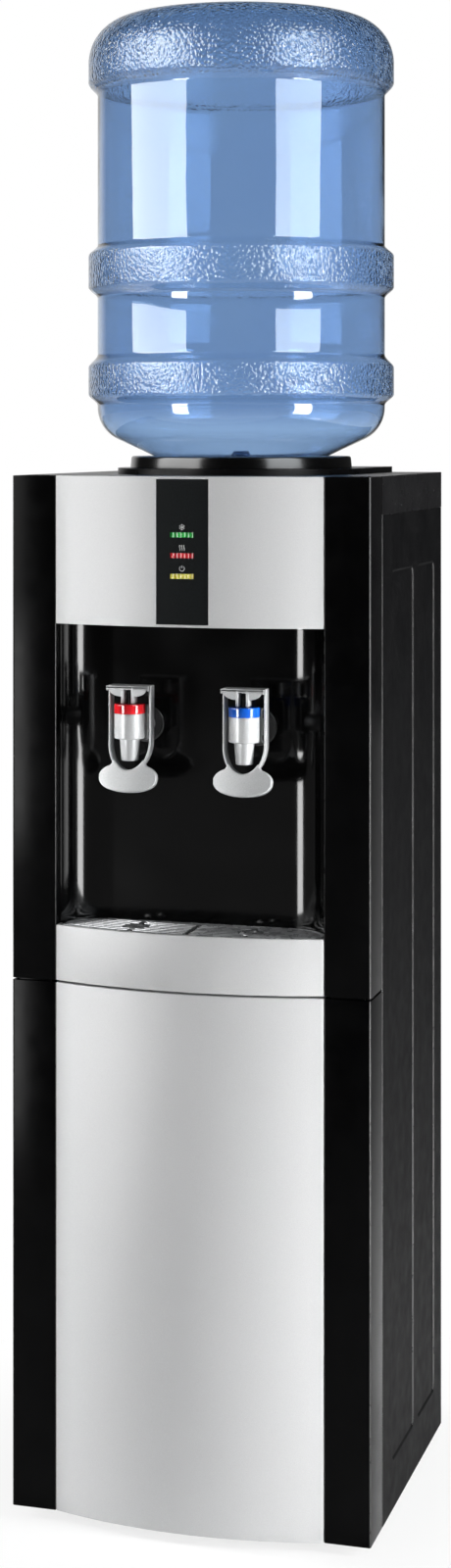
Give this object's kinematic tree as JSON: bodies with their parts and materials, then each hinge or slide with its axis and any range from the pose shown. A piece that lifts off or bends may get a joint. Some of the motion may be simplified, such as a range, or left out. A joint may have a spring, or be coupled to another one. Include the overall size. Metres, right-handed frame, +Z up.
{
  "type": "water cooler",
  "caption": "Tall floor-standing water cooler with an inverted clear bottle, a hot and a cold push tap in a deep niche, a drip tray, and a cooling unit behind.",
  "frame": {"origin": "on the floor under the middle of the cooler's bounding box", "axes": "+Z up; the front with the taps faces -Y; +X to the right seen from the front"},
  "size_m": [0.31, 0.32, 1.279],
  "materials": {
    "black_gloss": "gloss",
    "black_satin": "satin",
    "silver_paint": "satin",
    "black_steel": "satin",
    "zinc_steel": "satin",
    "strip_black": "grained",
    "green_lens": "gloss",
    "red_lens": "gloss",
    "yellow_lens": "gloss",
    "board_green": "satin",
    "grille_silver": "satin",
    "tap_silver": "satin",
    "ring_red": "gloss",
    "ring_blue": "gloss",
    "silicone": "satin",
    "steel_wire": "satin",
    "smoke_plastic": "gloss",
    "white_plastic": "satin",
    "guard_plastic": "satin",
    "foam": "matte",
    "copper": "satin",
    "black_rubber": "matte",
    "rocker_green": "gloss",
    "rocker_red": "gloss",
    "bottle_blue": "gloss",
    "cap_blue": "satin"
  },
  "bodies": {
    "cabinet": {"base_pan": "zinc_steel", "feet": "black_rubber", "left_side_panel": "black_steel", "right_side_panel": "black_steel", "rear_panel": "black_steel", "top_cover": "black_satin", "bottle_collar": "black_gloss", "upper_front_frame": "black_gloss", "lower_front_frame": "black_gloss", "top_fascia": "silver_paint", "tray_apron": "silver_paint", "lower_front_panel": "silver_paint", "indicator_strip": "strip_black", "cooling_lens": "green_lens", "heating_lens": "red_lens", "power_lens": "yellow_lens", "indicator_board": "board_green", "rosettes": "smoke_plastic", "tap_nuts": "white_plastic", "water_guard": "guard_plastic", "cold_tank": "zinc_steel", "cold_tank_foam": "foam", "evaporator": "copper", "hot_tank": "zinc_steel", "hot_tank_foam": "foam", "tank_heater": "zinc_steel", "tank_shelves": "zinc_steel", "hoses": "silicone", "compressor": "black_steel", "compressor_mounts": "black_rubber", "relay_cover": "black_satin", "filter_drier": "copper", "refrigerant_pipes": "copper", "condenser_tube": "black_steel", "condenser_wires": "black_steel", "switch_housing": "black_satin", "cable_gland": "black_satin", "drain_outlet": "white_plastic", "screws": "steel_wire", "hot_tap_body": "tap_silver", "hot_tap_ring": "ring_red", "hot_tap_spring": "steel_wire", "cold_tap_body": "tap_silver", "cold_tap_ring": "ring_blue", "cold_tap_spring": "steel_wire"},
    "bottle": {"bottle": "bottle_blue", "bottle_cap": "cap_blue"},
    "drip_tray": {"drip_tray": "black_satin"},
    "drip_grille": {"drip_grille": "grille_silver"},
    "cooling_rocker": {"cooling_rocker": "rocker_green"},
    "heating_rocker": {"heating_rocker": "rocker_red"},
    "drain_cap": {"drain_cap": "black_satin"},
    "hot_valve": {"hot_tap_stem": "black_satin", "hot_tap_seal": "silicone", "hot_lever_pin": "steel_wire"},
    "hot_lever": {"hot_tap_lever": "tap_silver"},
    "cold_valve": {"cold_tap_stem": "black_satin", "cold_tap_seal": "silicone", "cold_lever_pin": "steel_wire"},
    "cold_lever": {"cold_tap_lever": "tap_silver"}
  },
  "joints": [
    {"name": "bottle_lift", "type": "slide", "parent": "cabinet", "child": "bottle", "axis": [0, 0, 1], "range_m": [0, 0.13]},
    {"name": "tray_lift", "type": "slide", "parent": "cabinet", "child": "drip_tray", "axis": [0, 0, 1], "range_m": [0, 0.05]},
    {"name": "grille_lift", "type": "slide", "parent": "drip_tray", "child": "drip_grille", "axis": [0, 0, 1], "range_m": [0, 0.05]},
    {"name": "drain_cap_pull", "type": "slide", "parent": "cabinet", "child": "drain_cap", "axis": [0, 1, 0], "range_m": [0, 0.02]},
    {"name": "hot_valve_lift", "type": "slide", "parent": "cabinet", "child": "hot_valve", "axis": [0, 0, 1], "range_m": [0, 0.0025], "deforming": ["hot_tap_spring"]},
    {"name": "hot_lever_push", "type": "hinge", "parent": "hot_valve", "child": "hot_lever", "pos_m": [-0.0495, -0.146, 0.696], "axis": [1, 0, 0], "range_deg": [0, 20], "stiffness_Nm_per_rad": 0.4, "springref_deg": -11.46},
    {"name": "cold_valve_lift", "type": "slide", "parent": "cabinet", "child": "cold_valve", "axis": [0, 0, 1], "range_m": [0, 0.0025], "deforming": ["cold_tap_spring"]},
    {"name": "cold_lever_push", "type": "hinge", "parent": "cold_valve", "child": "cold_lever", "pos_m": [0.0495, -0.146, 0.696], "axis": [1, 0, 0], "range_deg": [0, 20], "stiffness_Nm_per_rad": 0.4, "springref_deg": -11.46},
    {"name": "cooling_rocker_tilt", "type": "hinge", "parent": "cabinet", "child": "cooling_rocker", "pos_m": [0.078, 0.14, 0.79], "axis": [1, 0, 0], "range_deg": [0, 20]},
    {"name": "heating_rocker_tilt", "type": "hinge", "parent": "cabinet", "child": "heating_rocker", "pos_m": [0.098, 0.14, 0.79], "axis": [1, 0, 0], "range_deg": [0, 20]}
  ],
  "couplings": [
    {"joint": "hot_valve_lift", "follows": "hot_lever_push", "m_per_rad": 0.0063},
    {"joint": "cold_valve_lift", "follows": "cold_lever_push", "m_per_rad": 0.0063}
  ]
}
